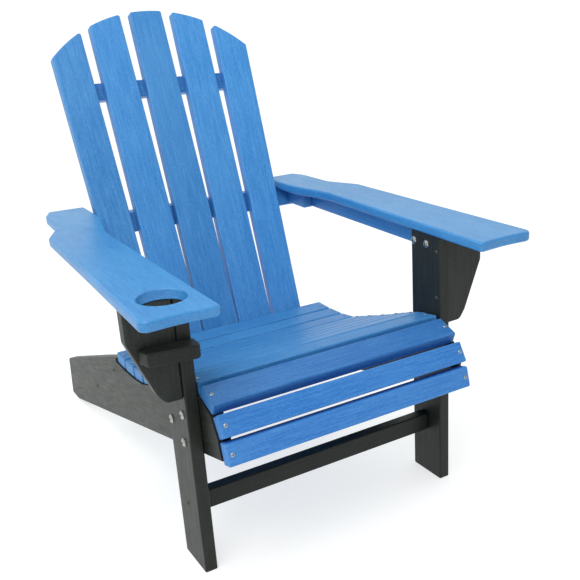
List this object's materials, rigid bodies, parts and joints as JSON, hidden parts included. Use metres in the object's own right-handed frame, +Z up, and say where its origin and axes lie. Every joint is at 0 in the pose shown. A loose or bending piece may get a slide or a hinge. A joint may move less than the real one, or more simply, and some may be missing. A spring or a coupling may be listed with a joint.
{
  "type": "adirondack chair",
  "caption": "Slatted garden armchair of plastic lumber with a leaning fan back, a curved slatted seat, wide arms and a cup hole over a small shelf.",
  "frame": {"origin": "on the floor, under the middle of the chair's bounding box", "axes": "+Z up; the front of the chair faces -Y; +X is to the right of someone who looks at its front. Left and right in node names are as seen from the front."},
  "size_m": [0.757, 1.0675, 0.9571],
  "materials": {
    "blue_lumber": "satin, brushed wood grain",
    "charcoal_lumber": "satin, brushed wood grain",
    "steel_hardware": "stainless steel"
  },
  "bodies": {
    "root": {"arm_cleat_left": "blue_lumber", "arm_cleat_right": "blue_lumber", "arm_gusset_left": "charcoal_lumber", "arm_gusset_right": "charcoal_lumber", "arm_rail_left": "blue_lumber", "arm_rail_right": "blue_lumber", "arm_screws": "steel_hardware", "armrest_left": "blue_lumber", "armrest_right": "blue_lumber", "back_screws": "steel_hardware", "back_slat_1": "blue_lumber", "back_slat_2": "blue_lumber", "back_slat_3": "blue_lumber", "back_slat_4": "blue_lumber", "back_slat_5": "blue_lumber", "cup_shelf": "charcoal_lumber", "frame_screws": "steel_hardware", "front_leg_left": "charcoal_lumber", "front_leg_right": "charcoal_lumber", "front_slat_1": "blue_lumber", "front_slat_2": "blue_lumber", "front_slat_3": "blue_lumber", "front_stretcher": "charcoal_lumber", "gusset_screws": "steel_hardware", "leg_bolt_nuts": "steel_hardware", "leg_bolts": "steel_hardware", "lower_back_brace": "blue_lumber", "middle_back_brace": "blue_lumber", "rail_bolt_nuts": "steel_hardware", "rail_bolts": "steel_hardware", "rear_stretcher": "charcoal_lumber", "seat_screws": "steel_hardware", "seat_slat_1": "blue_lumber", "seat_slat_2": "blue_lumber", "seat_slat_3": "blue_lumber", "seat_slat_4": "blue_lumber", "seat_slat_5": "blue_lumber", "seat_slat_6": "blue_lumber", "seat_slat_7": "blue_lumber", "seat_slat_8": "blue_lumber", "seat_slat_9": "blue_lumber", "shelf_screws": "steel_hardware", "side_stringer_left": "charcoal_lumber", "side_stringer_right": "charcoal_lumber", "upper_back_brace": "blue_lumber"}
  },
  "joints": []
}
